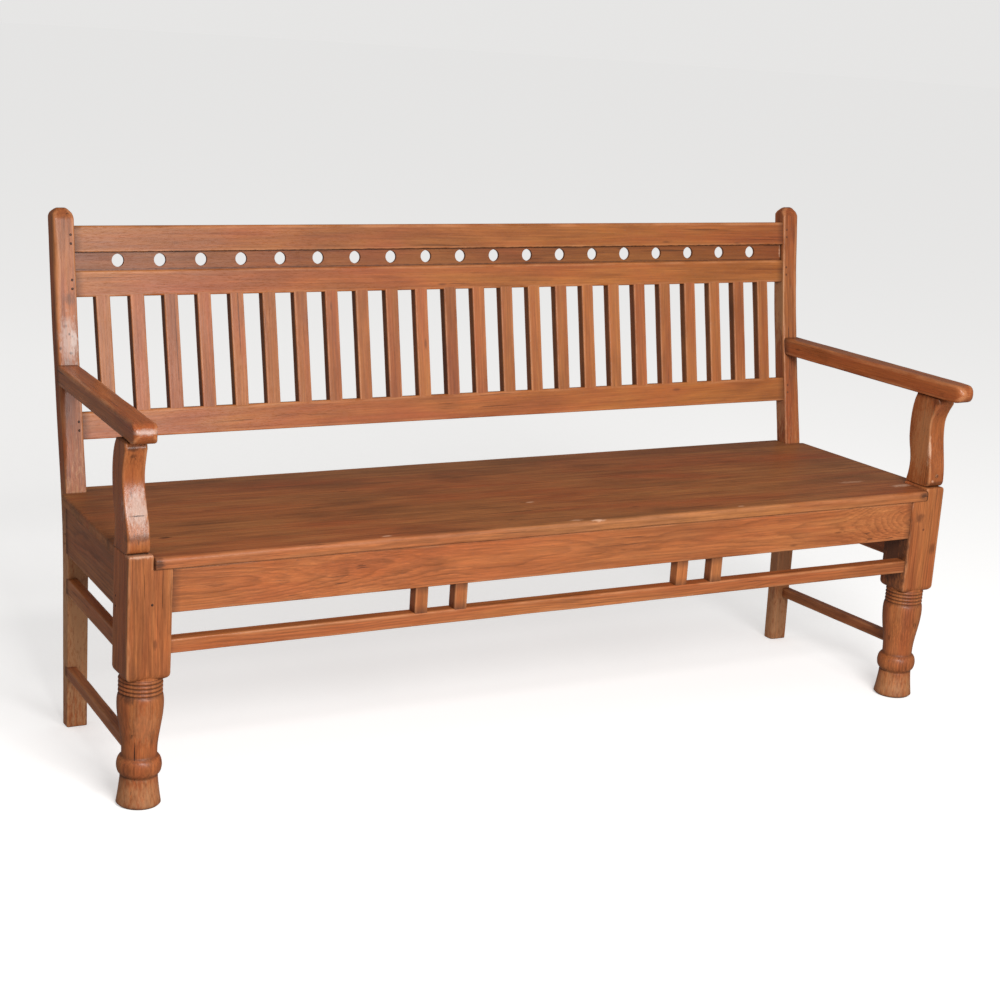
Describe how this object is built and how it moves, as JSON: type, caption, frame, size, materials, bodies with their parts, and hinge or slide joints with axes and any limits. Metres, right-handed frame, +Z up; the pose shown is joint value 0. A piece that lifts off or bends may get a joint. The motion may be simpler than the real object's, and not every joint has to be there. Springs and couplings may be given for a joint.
{
  "type": "church pew",
  "caption": "Long wooden pew with a plank seat, a back of upright slats under a pierced strip, turned front legs, raked rear posts and open arms.",
  "frame": {"origin": "on the floor, at the middle of the object's bounding box", "axes": "+Z up, +X along the bench to a viewer's right, -Y out of the front of the seat"},
  "size_m": [1.762, 0.6204, 0.96],
  "materials": {
    "rail_wood": "waxed hardwood, orange-brown, satin",
    "slat_wood": "waxed hardwood, orange-brown, satin",
    "seat_wood": "worn hardwood, darker brown, almost matt, with pale scuffs",
    "leg_wood": "waxed hardwood, red-brown, satin, pale where worn",
    "arm_wood": "hardwood polished by hands, satin",
    "frame_wood": "waxed hardwood, red-brown, strong grain",
    "peg_wood": "dark hardwood end grain"
  },
  "bodies": {
    "root": {"rear_post_left": "leg_wood", "rear_post_right": "leg_wood", "front_leg_left": "leg_wood", "front_leg_right": "leg_wood", "arm_support_left": "arm_wood", "arm_support_right": "arm_wood", "armrest_left": "arm_wood", "armrest_right": "arm_wood", "crest_rail": "rail_wood", "pierced_strip": "rail_wood", "upper_slat_rail": "rail_wood", "lower_slat_rail": "rail_wood", "slat_01": "slat_wood", "slat_02": "slat_wood", "slat_03": "slat_wood", "slat_04": "slat_wood", "slat_05": "slat_wood", "slat_06": "slat_wood", "slat_07": "slat_wood", "slat_08": "slat_wood", "slat_09": "slat_wood", "slat_10": "slat_wood", "slat_11": "slat_wood", "slat_12": "slat_wood", "slat_13": "slat_wood", "slat_14": "slat_wood", "slat_15": "slat_wood", "slat_16": "slat_wood", "slat_17": "slat_wood", "slat_18": "slat_wood", "slat_19": "slat_wood", "slat_20": "slat_wood", "slat_21": "slat_wood", "slat_22": "slat_wood", "slat_23": "slat_wood", "slat_24": "slat_wood", "seat_board": "seat_wood", "front_apron": "frame_wood", "rear_seat_rail": "frame_wood", "side_apron_left": "frame_wood", "side_apron_right": "frame_wood", "seat_bearer_left": "frame_wood", "seat_bearer_right": "frame_wood", "front_stretcher": "frame_wood", "strut_1": "frame_wood", "strut_2": "frame_wood", "strut_3": "frame_wood", "strut_4": "frame_wood", "upper_side_stretcher_left": "frame_wood", "upper_side_stretcher_right": "frame_wood", "lower_side_stretcher_left": "frame_wood", "lower_side_stretcher_right": "frame_wood", "back_pegs": "peg_wood", "seat_frame_pegs": "peg_wood", "side_frame_pegs": "peg_wood", "arm_peg": "frame_wood"}
  },
  "joints": []
}
